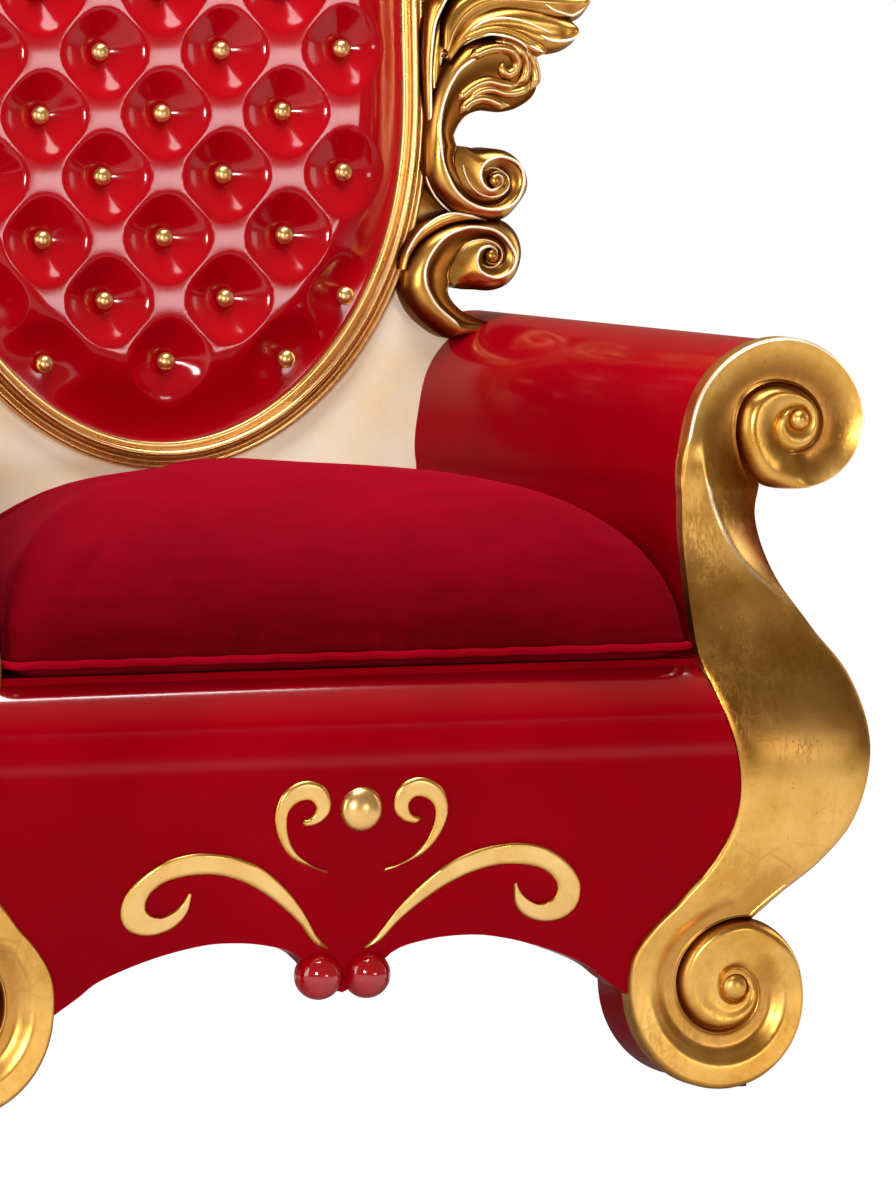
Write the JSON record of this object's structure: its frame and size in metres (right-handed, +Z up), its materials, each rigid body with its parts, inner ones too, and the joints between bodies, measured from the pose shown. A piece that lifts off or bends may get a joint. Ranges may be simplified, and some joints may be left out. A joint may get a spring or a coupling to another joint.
{
  "type": "throne",
  "caption": "Ceremonial throne with a tufted oval back in a carved gold frame, red shell on scroll feet, gold scroll arms and a velvet seat cushion.",
  "frame": {"origin": "middle of the footprint on the floor, half way across the width and half way through the depth", "axes": "+X to the right as seen from the front, +Y to the rear, +Z up"},
  "size_m": [1.2048, 0.8001, 1.765],
  "materials": {
    "red_lacquer": "high-gloss red lacquer over moulded shell",
    "patent_red": "glossy patent leathercloth, deep buttoned",
    "crimson_velvet": "crimson velvet with piped edge",
    "gold_leaf": "burnished gold leaf with fine scratches and laps",
    "pale_gold": "satin pale gold",
    "bright_gold": "polished gold"
  },
  "bodies": {
    "root": {"apron_berry_left": "red_lacquer", "apron_berry_right": "red_lacquer", "apron_boss": "bright_gold", "apron_scroll_left": "pale_gold", "apron_scroll_right": "pale_gold", "arm_left": "red_lacquer", "arm_right": "red_lacquer", "back_frame": "gold_leaf", "back_pad": "patent_red", "back_shell": "red_lacquer", "button_01": "bright_gold", "button_02": "bright_gold", "button_03": "bright_gold", "button_04": "bright_gold", "button_05": "bright_gold", "button_06": "bright_gold", "button_07": "bright_gold", "button_08": "bright_gold", "button_09": "bright_gold", "button_10": "bright_gold", "button_11": "bright_gold", "button_12": "bright_gold", "button_13": "bright_gold", "button_14": "bright_gold", "button_15": "bright_gold", "button_16": "bright_gold", "button_17": "bright_gold", "button_18": "bright_gold", "button_19": "bright_gold", "button_20": "bright_gold", "button_21": "bright_gold", "button_22": "bright_gold", "button_23": "bright_gold", "button_24": "bright_gold", "button_25": "bright_gold", "button_26": "bright_gold", "button_27": "bright_gold", "button_28": "bright_gold", "button_29": "bright_gold", "button_30": "bright_gold", "button_31": "bright_gold", "button_32": "bright_gold", "button_33": "bright_gold", "button_34": "bright_gold", "button_35": "bright_gold", "button_36": "bright_gold", "button_37": "bright_gold", "button_38": "bright_gold", "heart_scroll_left": "pale_gold", "heart_scroll_right": "pale_gold", "oval_moulding": "bright_gold", "scroll_front_left": "gold_leaf", "scroll_front_right": "gold_leaf", "seat_body": "red_lacquer", "seat_cushion": "crimson_velvet"}
  },
  "joints": []
}
